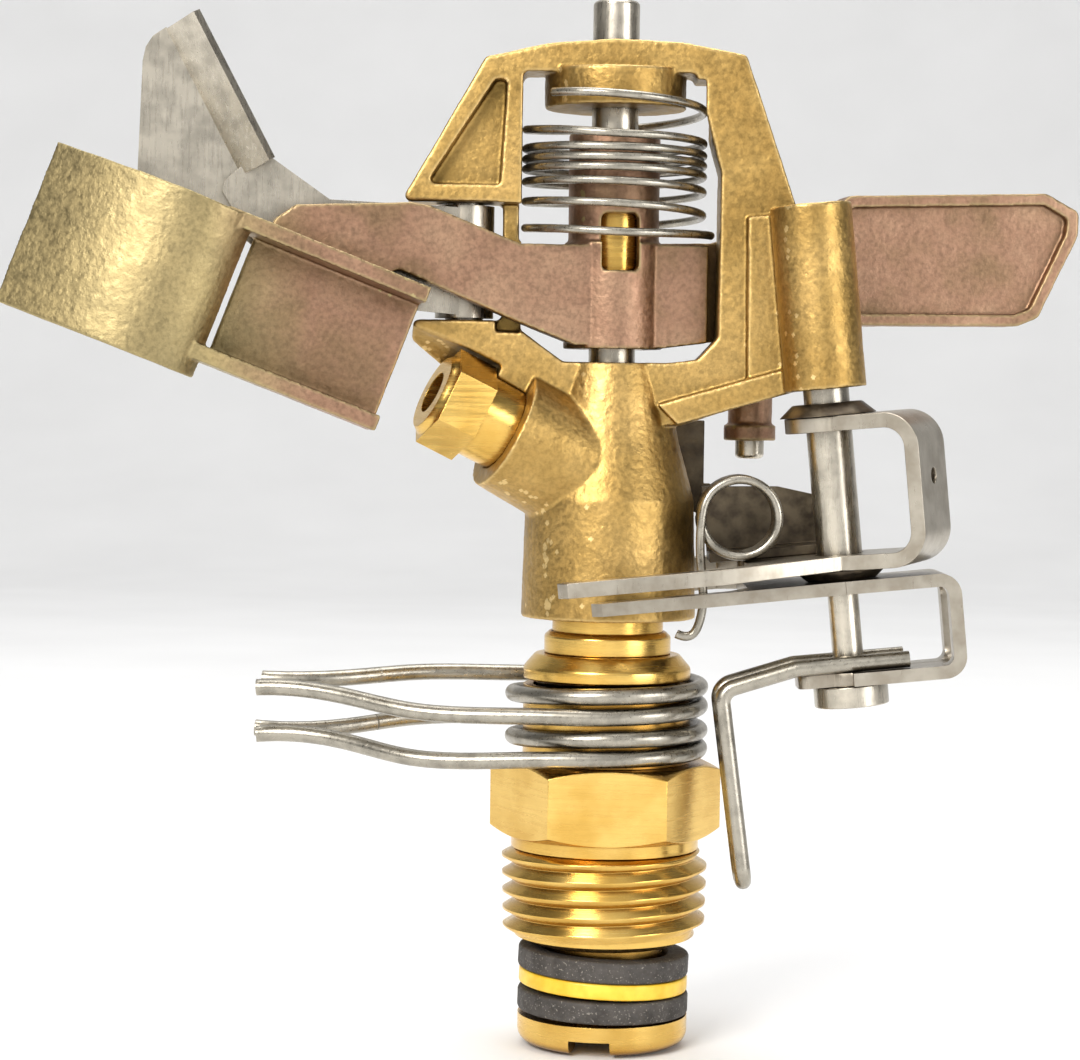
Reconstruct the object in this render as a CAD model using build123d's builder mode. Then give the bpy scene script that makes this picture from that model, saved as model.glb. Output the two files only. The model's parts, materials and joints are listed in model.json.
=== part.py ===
"""Part-circle impact sprinkler with a jet-box arm, a deflector flap and a trip mechanism.

Millimetres, +Z up.  The origin is on the riser axis, where the inlet thread begins.
The nozzle and the drive box are on the -X side, the trip mechanism on the +X side.
"""

import os
from math import cos, pi, radians, sin

from build123d import *

os.makedirs("parts", exist_ok=True)

# Inlet nipple: 1/2 inch taper pipe thread, 14 threads an inch
THREAD_PITCH = 25.4 / 14
THREAD_CREST = 10.65
THREAD_DEPTH = 1.25
THREAD_FLAT = 0.34
THREAD_TAPER = 1 / 40
THREAD_LEAD = 0.35
THREAD_TURNS = 5
NECK_RADIUS = 9.65
NOSE_RADIUS = 7.6
NOSE_LENGTH = 0.7
HEX_AF = 20.6
HEX_LOW = 1.3
HEX_HIGH = 8.9
HEX_CHAMFER_RADIUS = 10.2
HEX_CHAMFER_RISE = 0.95
SLEEVE_RADIUS = 8.6
SLEEVE_TOP = 16.8
SPRING_SEAT = 10.5
SPRING_SEAT_RADIUS = 7.6

# Bearing tube, its washers and the parts round its top
TUBE_RADIUS = 6.1
TUBE_TOP_RADIUS = 5.7
TUBE_STEP = 10.0
TUBE_BORE = 4.6
TUBE_TOP = 31.0
FLANGE_RADIUS = 8.75
FLANGE_TOP = -17.2
TUBE_BOTTOM = -20.2
FLANGE_ROUND = 1.4
SLOT_WIDTH = 4.2
SLOT_DEPTH = 1.5
SLOT_TURN = 10
RUNNING_GAP = 0.05
WASHER_BORE = 6.5
SEAL_RADIUS = 8.8
SEAL_THICKNESS = 2.2
UPPER_SEAL_Z = -12.72
LOWER_SEAL_Z = -16.92
WEAR_RADIUS = 8.7
WEAR_THICKNESS = 1.6
WEAR_WASHER_Z = -14.4
WASHER_TILT = 2.6
LOWER_TILT = 1.2
BEARING_WIRE = 0.6
BEARING_COIL_RADIUS = 6.75
BEARING_TURNS = 4
COLLAR_UNDERSIDE = 18.6
DUST_COLLAR_RADIUS = 8.6
DUST_COLLAR_NECK = 7.4
DUST_COLLAR_BOTTOM = 17.35
DUST_COLLAR_TOP = 20.0
RING_RADIUS = 6.5
RING_TOP = 22.3

# Body casting
BARREL_RADIUS = 8.95
BARREL_BOTTOM = 23.7
NECK_TOP_RADIUS = 5.4
BODY_TOP = 49.8
PORT_HEIGHT = 37.3
JET_RISE = 26
JET_YAW = 17
PORT_LENGTH = 12.7
PORT_RADIUS = 6.2
BRIDGE_FRONT = 4.3
BRIDGE_BACK = 2.3
WINDOW_TOP = 79.0
PANEL_DEPTH = 2.2
POST_FRONT = 2.2
PAD_RADIUS = 7.2
PAD_BOTTOM = 75.6
BOSS_RADIUS = 4.1
BOSS_LOW = 20.5
BOSS_HIGH = 39.0
BOSS_WEB = 1.6
RIB_DEPTH = 3.4
SPRING_CLEARANCE = 9.9

# Nozzle
SHANK_RADIUS = 4.3
SHANK_START = 8.4
NOZZLE_AF = 9.1
NOZZLE_ROLL = 30
NOZZLE_RECESS = 5.6
NOZZLE_HEX_START = 16.2
NOZZLE_HEX_LENGTH = 4.2
NOZZLE_NOSE = 0.7
ORIFICE_RADIUS = 2.2

# Fulcrum pin
PIN_RADIUS = 2.38
PIN_BOTTOM = 42.0
PIN_TOP = 86.6
PIN_CHAMFER = 0.3

# Impact arm
ARM_TURN = 8
WEB_OFFSET = 2.6
WEB_HALF = 1.5
CHEEK_FRONT = 3.3
HUB_BOTTOM = 51.2
HUB_STEP = 62.0
HUB_TOP = 73.1
HUB_LOWER_RADIUS = 5.0
HUB_UPPER_RADIUS = 4.65
HUB_SLOT_WIDTH = 3.8
HUB_SLOT_HEIGHT = 5.8
SLOT_CENTRE = 62.0
BUSH_RADIUS = 3.2
BOX_CENTRE = (-30.6, 52.9)
BOX_TILT = -21
BOX_LENGTH = 17.8
BOX_HEIGHT = 15.2
BOX_WALL = 1.6
BOX_FLOOR = 1.9
BOX_DEPTH = 8.4
WALL_REACH = 3.4
VANE_HEIGHT = 16.8
VANE_DROP = -1.0
PADDLE_HALF = 2.4
PADDLE_RECESS = 1.0
LUG_X = 15.2
LUG_OFFSET = 3.0
LUG_TOP = 53.2
LUG_TOP_RADIUS = 2.45
LUG_FLANGE_RADIUS = 2.7
LUG_FLANGE_TOP = 43.6
LUG_BOTTOM = 42.0
LUG_TIP_RADIUS = 1.5
LUG_TIP_DEPTH = 4.0
LUG_TIP_END = 40.1

# Arm spring: heights of its turns where they cross the front
ARM_WIRE = 0.42
ARM_COIL_RADIUS = 9.05
ARM_TURN_HEIGHTS = (76.4, 72.5, 71.2, 70.2, 69.2, 67.8, 65.6, 62.75)
SPRING_HOOK = (9.9, -0.6, 62.9)

# Deflector and its hinge
HINGE_X = -15.2
HINGE_Y = 0.1
HINGE_PIN_RADIUS = 1.95
HINGE_PIN_BOTTOM = 50.6
HINGE_PIN_TOP = 68.6
HINGE_RADIUS = 3.0
HINGE_BOTTOM = 54.15
HINGE_TOP = 65.55
HINGE_GAP = 0.25
SHEET = 0.9
FLAP_OFFSET = 0.3
FLANGE_FOLD = 50
FOLD_FOOT = (-37.8, 68.1)
FOLD_LEAN = 117.8
FOLD_LENGTH = 16.3
FLANGE_WIDTH = 4.8
JOGGLE = 0.5

# Trip mechanism, drawn square to an axis that leans outward at the top
TRIP_X = 23.47
TRIP_Y = -6.4
TRIP_Z = 27.0
TRIP_LEAN = 5.8
SHAFT_RADIUS = 2.3
SHAFT_TIP_RADIUS = 1.55
SHAFT_STEP = 1.36
SHAFT_TOP = 31.0
SHAFT_HEAD_RADIUS = 3.75
SHAFT_HEAD = 2.1
PIVOT_GAP = 0.08
BRACKET_SHEET = 1.5
BRACKET_LOW = 2.4
BRACKET_HIGH = 16.3
BRACKET_REACH = 10.6
BRACKET_HALF_WIDTH = 4.0
BRACKET_TURN = -26
BRACKET_BEND = 3.6
BRACKET_HOLE = 0.8
LEVER_SHEET = 1.3
LEVER_LOW = -9.2
LEVER_REACH = 11.4
LEVER_HALF_WIDTH = 4.3
LEVER_BEND = 2.2
TRAVEL = 12
UPPER_WASHER_TOP = 19.1
FINGER_WIDTH = 2.4
FINGER_TIP = 28.6
BODY_AWAY = 23.5
BODY_ASIDE = 6.4
ROD_WIRE = 0.82
ROD_BEND = 1.6
ROD_FRONT = -2.9
ROD_REAR = 2.45
ROD_FOOT = (13.8, -2.2)
TRIP_WIRE = 0.45
TRIP_COIL_RADIUS = 3.85
TRIP_COIL = (12.9, 34.4)
TRIP_COIL_FRONT = -8.8
TRIP_COIL_PITCH = 0.95
TRIP_TURNS = 5
DOG_SHEET = 1.0
DOG_FINGER_X = 8.3
DOG_FINGER_Y = 7.0
RIVET_X = -9.4
RIVET_Y = 3.4
RIVET_RADIUS = 1.4

# Friction collars: heights of a collar's wire at the rear, front, rear and front of its turns
COLLAR_WIRE = 0.85
COLLAR_RADIUS = 9.6
UPPER_TURNS = (17.05, 16.37, 15.2, 14.27)
LOWER_TURNS = (12.4, 12.06, 10.65, 10.06)

jet = Vector(
    -cos(radians(JET_RISE)) * cos(radians(JET_YAW)),
    -cos(radians(JET_RISE)) * sin(radians(JET_YAW)),
    sin(radians(JET_RISE)),
)
jet_start = Vector(0, 0, PORT_HEIGHT)


def jet_plane(distance):
    """A plane across the jet, that far from the riser axis."""
    return Plane(origin=jet_start + jet * distance, x_dir=jet.cross(Vector(0, 0, 1)), z_dir=jet)


def arm_plane(offset, centre=(0, 0), turn=0):
    """A plane along the arm that faces the front, offset to the rear, with its own origin."""
    a = radians(ARM_TURN)
    along, rear = Vector(cos(a), sin(a), 0), Vector(-sin(a), cos(a), 0)
    t = radians(turn)
    origin = along * centre[0] + rear * offset + Vector(0, 0, centre[1])
    return Plane(origin=origin, x_dir=along * cos(t) + Vector(0, 0, sin(t)), z_dir=-rear)


def trip_plane(height):
    """A plane across the trip axis at that height along it."""
    t = radians(TRIP_LEAN)
    axis = Vector(-sin(t), 0, cos(t))
    foot = Vector(TRIP_X, TRIP_Y, TRIP_Z)
    return Plane(origin=foot + axis * height, x_dir=(cos(t), 0, sin(t)), z_dir=axis)


def trip_point(x, y, height):
    """A point given square to the trip axis."""
    return trip_plane(height).from_local_coords((x, y, 0))


def upright(x, y, low, high, radius, mode=Mode.ADD):
    """An upright cylinder between two heights."""
    with Locations((x, y, low)):
        Cylinder(radius, high - low, align=(Align.CENTER, Align.CENTER, Align.MIN), mode=mode)


def coil(radius, low, high, turns, start, steps=12):
    """Points of a rising coil that turns anticlockwise seen from above."""
    count = round(turns * steps)
    points = []
    for i in range(count + 1):
        a = radians(start) + 2 * pi * turns * i / count
        points.append((radius * cos(a), radius * sin(a), low + (high - low) * i / count))
    return points


def wire(points, radius):
    """Sweeps a round wire along a smooth curve through the points."""
    with BuildLine() as path:
        Spline(*points)
    with BuildSketch(Plane(origin=path.line @ 0, z_dir=path.line % 0)) as section:
        Circle(radius)
    sweep(sections=section.sketch, path=path.line, is_frenet=True)


def bent_wire(points, radius, bend):
    """Sweeps a round wire along straight runs joined by bends."""
    with BuildLine() as path:
        FilletPolyline(*points, radius=bend)
    with BuildSketch(Plane(origin=path.line @ 0, z_dir=path.line % 0)) as section:
        Circle(radius)
    sweep(sections=section.sketch, path=path.line)


def turned(points, plane=Plane.XZ, mode=Mode.ADD):
    """Turns a closed outline of radius and height about the riser axis."""
    with BuildSketch(plane) as section:
        with BuildLine():
            Polyline(*points, close=True)
        make_face()
    revolve(profiles=section.sketch, axis=Axis.Z, mode=mode)


def plate(plane, points, thickness, mode=Mode.ADD, both=False, rounding=0):
    """Extrudes a closed outline from a plane, with its corners rounded on request."""
    with BuildSketch(plane) as face:
        with BuildLine():
            if rounding:
                FilletPolyline(*points, radius=rounding, close=True)
            else:
                Polyline(*points, close=True)
        make_face()
    extrude(face.sketch, amount=thickness, both=both, mode=mode)


# ---------------------------------------------------------------- inlet and bearing
nose_end = -THREAD_TURNS * THREAD_PITCH - NOSE_LENGTH
bearing_bore = TUBE_RADIUS + RUNNING_GAP
thread_outline = [(bearing_bore, HEX_LOW), (NECK_RADIUS, HEX_LOW), (NECK_RADIUS, 0)]
for turn in range(THREAD_TURNS):
    crest_z = -THREAD_PITCH * (turn + THREAD_LEAD)
    crest = THREAD_CREST + THREAD_TAPER * crest_z
    root = crest - THREAD_DEPTH
    half = THREAD_PITCH / 2
    thread_outline += [
        (root, min(0, crest_z + half - THREAD_FLAT / 4)),
        (crest, crest_z + THREAD_FLAT / 2),
        (crest, crest_z - THREAD_FLAT / 2),
        (root, crest_z - half + THREAD_FLAT / 4),
    ]
thread_outline += [(NOSE_RADIUS, nose_end), (bearing_bore, nose_end)]

with BuildPart() as inlet_nipple:
    with BuildSketch(Plane.XY.offset(HEX_LOW)):
        RegularPolygon(radius=HEX_AF / 2, side_count=6, major_radius=False)
    extrude(amount=HEX_HIGH - HEX_LOW)
    corner = HEX_AF / 2 + HEX_CHAMFER_RISE * 2
    turned(
        [
            (0, HEX_LOW),
            (HEX_CHAMFER_RADIUS, HEX_LOW),
            (corner, HEX_LOW + HEX_CHAMFER_RISE),
            (corner, HEX_HIGH - HEX_CHAMFER_RISE),
            (HEX_CHAMFER_RADIUS, HEX_HIGH),
            (0, HEX_HIGH),
        ],
        mode=Mode.INTERSECT,
    )
    turned(thread_outline)
    upright(0, 0, HEX_HIGH, SLEEVE_TOP, SLEEVE_RADIUS)
    turned(
        [
            (0, nose_end),
            (bearing_bore, nose_end),
            (bearing_bore, SPRING_SEAT),
            (SPRING_SEAT_RADIUS, SPRING_SEAT),
            (SPRING_SEAT_RADIUS, SLEEVE_TOP),
            (0, SLEEVE_TOP),
        ],
        mode=Mode.SUBTRACT,
    )

with BuildPart() as bearing_tube:
    turned(
        [
            (TUBE_BORE, TUBE_BOTTOM),
            (FLANGE_RADIUS, TUBE_BOTTOM),
            (FLANGE_RADIUS, FLANGE_TOP),
            (TUBE_RADIUS, FLANGE_TOP),
            (TUBE_RADIUS, TUBE_STEP),
            (TUBE_TOP_RADIUS, TUBE_STEP),
            (TUBE_TOP_RADIUS, TUBE_TOP),
            (TUBE_BORE, TUBE_TOP),
        ]
    )
    rim = bearing_tube.edges().filter_by(GeomType.CIRCLE).filter_by(
        lambda e: abs(e.radius - FLANGE_RADIUS) < 0.01 and e.center().Z < TUBE_BOTTOM + 0.1
    )
    fillet(rim, radius=FLANGE_ROUND)
    with Locations(Location((0, 0, TUBE_BOTTOM), (0, 0, -SLOT_TURN))):
        Box(
            SLOT_WIDTH,
            FLANGE_RADIUS * 3,
            SLOT_DEPTH,
            align=(Align.CENTER, Align.CENTER, Align.MIN),
            mode=Mode.SUBTRACT,
        )


def washer(height, thickness, tilt, radius):
    """A loose washer on the bearing tube, tipped about the front-to-back axis."""
    with BuildSketch(Plane(Location((0, 0, height), (0, tilt, 0)))) as ring:
        Circle(radius)
        Circle(WASHER_BORE, mode=Mode.SUBTRACT)
    extrude(ring.sketch, amount=thickness)


with BuildPart() as upper_seal_washer:
    washer(UPPER_SEAL_Z, SEAL_THICKNESS, WASHER_TILT, SEAL_RADIUS)

with BuildPart() as wear_washer:
    washer(WEAR_WASHER_Z, WEAR_THICKNESS, WASHER_TILT, WEAR_RADIUS)

with BuildPart() as lower_seal_washer:
    washer(LOWER_SEAL_Z, SEAL_THICKNESS, LOWER_TILT, SEAL_RADIUS)

with BuildPart() as bearing_spring:
    wire(
        coil(
            BEARING_COIL_RADIUS,
            SPRING_SEAT + BEARING_WIRE + RUNNING_GAP,
            COLLAR_UNDERSIDE - BEARING_WIRE - RUNNING_GAP,
            BEARING_TURNS,
            0,
        ),
        BEARING_WIRE,
    )

with BuildPart() as dust_collar:
    turned(
        [
            (TUBE_TOP_RADIUS, COLLAR_UNDERSIDE),
            (SPRING_SEAT_RADIUS, COLLAR_UNDERSIDE),
            (SPRING_SEAT_RADIUS, DUST_COLLAR_BOTTOM),
            (DUST_COLLAR_RADIUS, DUST_COLLAR_BOTTOM),
            (DUST_COLLAR_RADIUS, COLLAR_UNDERSIDE),
            (DUST_COLLAR_NECK, DUST_COLLAR_TOP),
            (TUBE_TOP_RADIUS, DUST_COLLAR_TOP),
        ]
    )

with BuildPart() as retaining_ring:
    turned(
        [
            (TUBE_TOP_RADIUS, DUST_COLLAR_TOP),
            (RING_RADIUS, DUST_COLLAR_TOP),
            (RING_RADIUS, RING_TOP - 0.5),
            (RING_RADIUS - 0.5, RING_TOP),
            (TUBE_TOP_RADIUS, RING_TOP),
        ]
    )

# ---------------------------------------------------------------- body casting
with BuildPart() as body_casting:
    # barrel and the neck above it
    turned(
        [
            (0, BARREL_BOTTOM),
            (BARREL_RADIUS, BARREL_BOTTOM),
            (BARREL_RADIUS - 0.3, PORT_HEIGHT - 1.5),
            (NECK_TOP_RADIUS + 1.6, PORT_HEIGHT + 4.5),
            (NECK_TOP_RADIUS, BODY_TOP),
            (0, BODY_TOP),
        ]
    )
    # nozzle port
    with BuildSketch(jet_plane(0)):
        Circle(PORT_RADIUS + 0.8)
    extrude(amount=PORT_LENGTH, taper=3.5)
    # bridge frame with its left foot and the web down to the right
    plate(
        Plane.XZ.offset(-BRIDGE_BACK),
        [
            (-21.6, HINGE_TOP + HINGE_GAP),
            (-13.2, 80.4),
            (-6.6, 81.9),
            (0, 82.4),
            (6.6, 82.1),
            (13.1, 80.9),
            (18.6, 65.0),
            (19.4, 50.0),
            (17.6, 47.0),
            (7.0, 43.5),
            (-11.0, 43.5),
            (-16.4, 48.4),
            (-20.4, 51.9),
            (-20.2, HINGE_BOTTOM - HINGE_GAP),
            (-11.3, HINGE_BOTTOM - HINGE_GAP),
            (-11.3, HINGE_TOP + HINGE_GAP),
        ],
        BRIDGE_FRONT + BRIDGE_BACK,
        rounding=0.6,
    )
    plate(
        Plane.XZ,
        [
            (-9.4, 53.0),
            (-9.4, WINDOW_TOP),
            (8.0, WINDOW_TOP),
            (10.7, 69.0),
            (10.6, 52.4),
            (8.6, 50.2),
            (5.4, BODY_TOP),
            (-5.0, BODY_TOP),
        ],
        BARREL_RADIUS,
        mode=Mode.SUBTRACT,
        both=True,
        rounding=0.6,
    )
    # shallow three-cornered panel in the left shoulder
    plate(
        Plane.XZ.offset(BRIDGE_FRONT),
        [(-19.0, 67.6), (-12.2, 78.2), (-11.0, 78.2), (-11.6, 67.6)],
        -PANEL_DEPTH,
        mode=Mode.SUBTRACT,
        rounding=0.5,
    )
    # the post beside the hinge is set back to let the arm stop against it
    with Locations((-10.6, -BRIDGE_FRONT, HINGE_BOTTOM - 1.4)):
        Box(
            2.6,
            2 * (BRIDGE_FRONT - POST_FRONT),
            HINGE_TOP - HINGE_BOTTOM + 1.6,
            align=(Align.CENTER, Align.CENTER, Align.MIN),
            mode=Mode.SUBTRACT,
        )
    # pads round the fulcrum pin under the bridge
    upright(0, 0, PAD_BOTTOM, WINDOW_TOP + 0.5, PAD_RADIUS)
    # trip boss, its web and the rib that braces it from the neck
    with BuildSketch(trip_plane(BOSS_LOW)):
        Circle(BOSS_RADIUS)
    extrude(amount=BOSS_HIGH - BOSS_LOW)
    plate(
        Plane.XZ.offset(BRIDGE_FRONT - 0.5),
        [(13.4, 64.6), (18.8, 65.2), (20.6, 48.2), (13.6, 48.2)],
        BOSS_WEB,
    )
    plate(
        Plane.XZ.offset(2.6),
        [(4.6, 45.6), (6.6, 43.6), (20.4, 47.7), (20.2, 50.2)],
        RIB_DEPTH,
    )
    # bores
    upright(0, 0, BARREL_BOTTOM, TUBE_TOP, TUBE_TOP_RADIUS, Mode.SUBTRACT)
    upright(0, 0, TUBE_TOP, PORT_HEIGHT + 2, TUBE_BORE, Mode.SUBTRACT)
    with BuildSketch(jet_plane(0)):
        Circle(SHANK_RADIUS)
    extrude(amount=PORT_LENGTH * 2, mode=Mode.SUBTRACT)
    with BuildSketch(jet_plane(NOZZLE_HEX_START - HINGE_GAP)):
        Circle(NOZZLE_RECESS)
    extrude(amount=PORT_LENGTH, mode=Mode.SUBTRACT)
    upright(0, 0, PIN_BOTTOM, PIN_TOP, PIN_RADIUS, Mode.SUBTRACT)
    upright(HINGE_X, HINGE_Y, HINGE_PIN_BOTTOM, HINGE_PIN_TOP, HINGE_PIN_RADIUS, Mode.SUBTRACT)
    with BuildSketch(trip_plane(BOSS_LOW)):
        Circle(SHAFT_RADIUS)
    extrude(amount=SHAFT_TOP - BOSS_LOW, mode=Mode.SUBTRACT)
    # room for the coils of the arm spring
    with BuildSketch(Plane.XY.offset(HUB_STEP)):
        Circle(SPRING_CLEARANCE)
        Circle(PAD_RADIUS, mode=Mode.SUBTRACT)
    extrude(amount=WINDOW_TOP - HUB_STEP - 0.6, mode=Mode.SUBTRACT)

with BuildPart() as nozzle:
    with BuildSketch(jet_plane(SHANK_START)):
        Circle(SHANK_RADIUS)
    extrude(amount=NOZZLE_HEX_START - SHANK_START)
    with BuildSketch(jet_plane(NOZZLE_HEX_START)):
        RegularPolygon(radius=NOZZLE_AF / 2, side_count=6, major_radius=False, rotation=NOZZLE_ROLL)
    extrude(amount=NOZZLE_HEX_LENGTH)
    with BuildSketch(jet_plane(NOZZLE_HEX_START + NOZZLE_HEX_LENGTH)):
        Circle(NOZZLE_AF / 2 - 0.1)
    extrude(amount=NOZZLE_NOSE, taper=40)
    with BuildSketch(jet_plane(SHANK_START)):
        Circle(SHANK_RADIUS - 1.0)
    extrude(amount=NOZZLE_HEX_START - SHANK_START, taper=6, mode=Mode.SUBTRACT)
    with BuildSketch(jet_plane(SHANK_START)):
        Circle(ORIFICE_RADIUS)
    extrude(amount=PORT_LENGTH * 2, mode=Mode.SUBTRACT)

with BuildPart() as fulcrum_pin:
    upright(0, 0, PIN_BOTTOM, PIN_TOP, PIN_RADIUS)
    top_rim = fulcrum_pin.edges().filter_by(GeomType.CIRCLE).sort_by(Axis.Z)[-1]
    chamfer(top_rim, length=PIN_CHAMFER)

# ---------------------------------------------------------------- impact arm
lug = arm_plane(LUG_OFFSET).from_local_coords((LUG_X, 0, 0))
box_plane = arm_plane(WEB_HALF - WEB_OFFSET, BOX_CENTRE, BOX_TILT)
with BuildPart() as impact_arm:
    # web to the drive box, in front of the hub
    plate(
        arm_plane(-WEB_OFFSET),
        [
            (0, 51.6),
            (-4.4, 51.5),
            (-11.1, 54.1),
            (-22.2, 58.7),
            (-30.0, 57.0),
            (-36.0, 61.4),
            (-34.7, 63.6),
            (-32.7, 65.0),
            (-21.2, 65.5),
            (-19.3, 65.2),
            (-10.1, 61.6),
            (0, 61.7),
        ],
        WEB_HALF,
        both=True,
    )
    # web to the counterweight, behind the hub
    plate(
        arm_plane(WEB_OFFSET),
        [
            (0, 51.6),
            (4.7, 51.3),
            (10.7, 52.1),
            (27.0, 54.1),
            (27.0, 66.0),
            (19.7, 65.4),
            (10.5, 62.3),
            (0, 62.0),
        ],
        WEB_HALF,
        both=True,
    )
    # the hub's right cheek, in front of that web
    plate(
        arm_plane(WEB_OFFSET),
        [
            (0, 51.5),
            (4.7, 51.3),
            (9.3, 51.9),
            (9.3, 61.8),
            (0, 61.8),
        ],
        WEB_OFFSET + CHEEK_FRONT,
    )
    # counterweight with a recessed face
    plate(
        arm_plane(WEB_OFFSET),
        [
            (20.6, 64.2),
            (24.8, 67.5),
            (45.9, 68.2),
            (49.5, 66.3),
            (49.4, 63.9),
            (45.2, 55.2),
            (43.0, 54.3),
            (26.3, 54.1),
            (23.0, 55.0),
        ],
        PADDLE_HALF,
        both=True,
        rounding=0.9,
    )
    plate(
        arm_plane(WEB_OFFSET - PADDLE_HALF),
        [
            (22.6, 63.9),
            (25.3, 66.3),
            (45.7, 67.0),
            (48.2, 65.6),
            (48.0, 63.9),
            (44.3, 56.1),
            (42.7, 55.5),
            (26.6, 55.3),
            (24.3, 56.0),
        ],
        -PADDLE_RECESS,
        mode=Mode.SUBTRACT,
        rounding=0.7,
    )
    # hub
    upright(0, 0, HUB_BOTTOM, HUB_STEP, HUB_LOWER_RADIUS)
    upright(0, 0, HUB_STEP, HUB_TOP, HUB_UPPER_RADIUS)
    # drive box: floor, upper and lower wall, open to the front and to the jet
    with BuildSketch(box_plane):
        with Locations((-WALL_REACH / 2, 0)):
            Rectangle(BOX_LENGTH + WALL_REACH, BOX_HEIGHT)
    extrude(amount=BOX_DEPTH)
    with BuildSketch(box_plane.offset(BOX_FLOOR)):
        Rectangle(BOX_LENGTH * 2, BOX_HEIGHT - BOX_WALL * 2)
    extrude(amount=BOX_DEPTH, mode=Mode.SUBTRACT)
    with BuildSketch(box_plane):
        with Locations((-BOX_LENGTH, 0)):
            Rectangle(BOX_LENGTH, BOX_HEIGHT - BOX_WALL * 2)
    extrude(amount=BOX_FLOOR, mode=Mode.SUBTRACT)
    # curved vane across the far end of the box, held by the two walls
    vane_plane = Plane(
        origin=box_plane.from_local_coords((-BOX_LENGTH / 2, VANE_DROP - VANE_HEIGHT / 2, 0)),
        x_dir=-box_plane.x_dir,
        z_dir=box_plane.y_dir,
    )
    with BuildSketch(vane_plane):
        with BuildLine():
            inner = Spline((1.4, 5.4), (3.0, 7.6), (7.0, 8.5), (13.5, 6.3), (20.4, 1.6))
            outer = Spline((0.6, 6.6), (2.6, 9.0), (7.0, 10.0), (14.1, 7.7), (21.3, 2.8))
            Line(inner @ 0, outer @ 0)
            Line(inner @ 1, outer @ 1)
        make_face()
    extrude(amount=VANE_HEIGHT)
    # lug below the counterweight web
    with BuildSketch(Plane(origin=(lug.X, lug.Y, LUG_TOP), z_dir=(0, 0, -1))):
        Circle(LUG_TOP_RADIUS)
    extrude(amount=LUG_TOP - LUG_FLANGE_TOP, taper=1)
    upright(lug.X, lug.Y, LUG_BOTTOM, LUG_FLANGE_TOP, LUG_FLANGE_RADIUS)
    # bores and the window that shows the bush
    upright(0, 0, HUB_BOTTOM, HUB_TOP, BUSH_RADIUS, Mode.SUBTRACT)
    with BuildSketch(arm_plane(-HUB_UPPER_RADIUS - 1, (0, SLOT_CENTRE))):
        RectangleRounded(HUB_SLOT_WIDTH, HUB_SLOT_HEIGHT, 0.6)
    extrude(amount=-HUB_UPPER_RADIUS, mode=Mode.SUBTRACT)
    upright(lug.X, lug.Y, LUG_BOTTOM, LUG_BOTTOM + LUG_TIP_DEPTH, LUG_TIP_RADIUS, Mode.SUBTRACT)

with BuildPart() as arm_bush:
    upright(0, 0, HUB_BOTTOM, HUB_TOP, BUSH_RADIUS)
    upright(0, 0, HUB_BOTTOM, HUB_TOP, PIN_RADIUS + RUNNING_GAP, Mode.SUBTRACT)

with BuildPart() as lug_tip:
    upright(lug.X, lug.Y, LUG_TIP_END, LUG_BOTTOM + LUG_TIP_DEPTH, LUG_TIP_RADIUS)
    fillet(lug_tip.edges().sort_by(Axis.Z)[0], radius=0.5)

# the arm spring falls as it runs anticlockwise, from the bridge to a hook on the right web
spring_points = []
steps = 12
for turn in range(len(ARM_TURN_HEIGHTS) - 1):
    high, low = ARM_TURN_HEIGHTS[turn], ARM_TURN_HEIGHTS[turn + 1]
    for step in range(steps):
        a = radians(-90) + 2 * pi * step / steps
        height = high + (low - high) * step / steps
        spring_points.append((ARM_COIL_RADIUS * cos(a), ARM_COIL_RADIUS * sin(a), height))
spring_points += [(0, -ARM_COIL_RADIUS, ARM_TURN_HEIGHTS[-1]), (6.2, -6.6, 62.75), SPRING_HOOK]
with BuildPart() as arm_spring:
    wire([(-6.4, -6.4, ARM_TURN_HEIGHTS[0] + 0.3)] + spring_points, ARM_WIRE)

# ---------------------------------------------------------------- deflector
with BuildPart() as deflector_pin:
    upright(HINGE_X, HINGE_Y, HINGE_PIN_BOTTOM, HINGE_PIN_TOP, HINGE_PIN_RADIUS)

with BuildPart() as deflector:
    upright(HINGE_X, HINGE_Y, HINGE_BOTTOM, HINGE_TOP, HINGE_RADIUS)
    # neck, and the flap set back from it
    plate(
        arm_plane(FLAP_OFFSET - JOGGLE),
        [
            (-15.4, 65.3),
            (-29.1, 65.8),
            (-34.9, 69.8),
            (-36.9, 69.9),
            (-39.6, 67.5),
            (-39.9, 66.4),
            (-38.8, 64.6),
            (-38.6, 62.4),
            (-30.0, 55.6),
            (-15.4, 54.4),
        ],
        SHEET / 2,
        both=True,
    )
    plate(
        arm_plane(FLAP_OFFSET),
        [
            (-34.9, 69.6),
            (-38.4, 69.3),
            (-45.2, 82.2),
            (-45.6, 82.6),
            (-46.9, 81.7),
            (-47.6, 80.6),
            (-47.9, 79.2),
            (-48.4, 66.0),
            (-46.0, 61.6),
            (-36.6, 62.4),
        ],
        SHEET / 2,
        both=True,
    )
    # folded edge
    fold = arm_plane(FLAP_OFFSET, FOLD_FOOT, FOLD_LEAN)
    tilt = radians(FLANGE_FOLD)
    across = fold.y_dir * -cos(tilt) + fold.z_dir * sin(tilt)
    with BuildSketch(Plane(origin=fold.origin, x_dir=across, z_dir=fold.x_dir)):
        with Locations((FLANGE_WIDTH / 2, 0)):
            Rectangle(FLANGE_WIDTH, SHEET)
    extrude(amount=FOLD_LENGTH)
    upright(HINGE_X, HINGE_Y, HINGE_BOTTOM, HINGE_TOP, HINGE_PIN_RADIUS + RUNNING_GAP, Mode.SUBTRACT)

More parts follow.
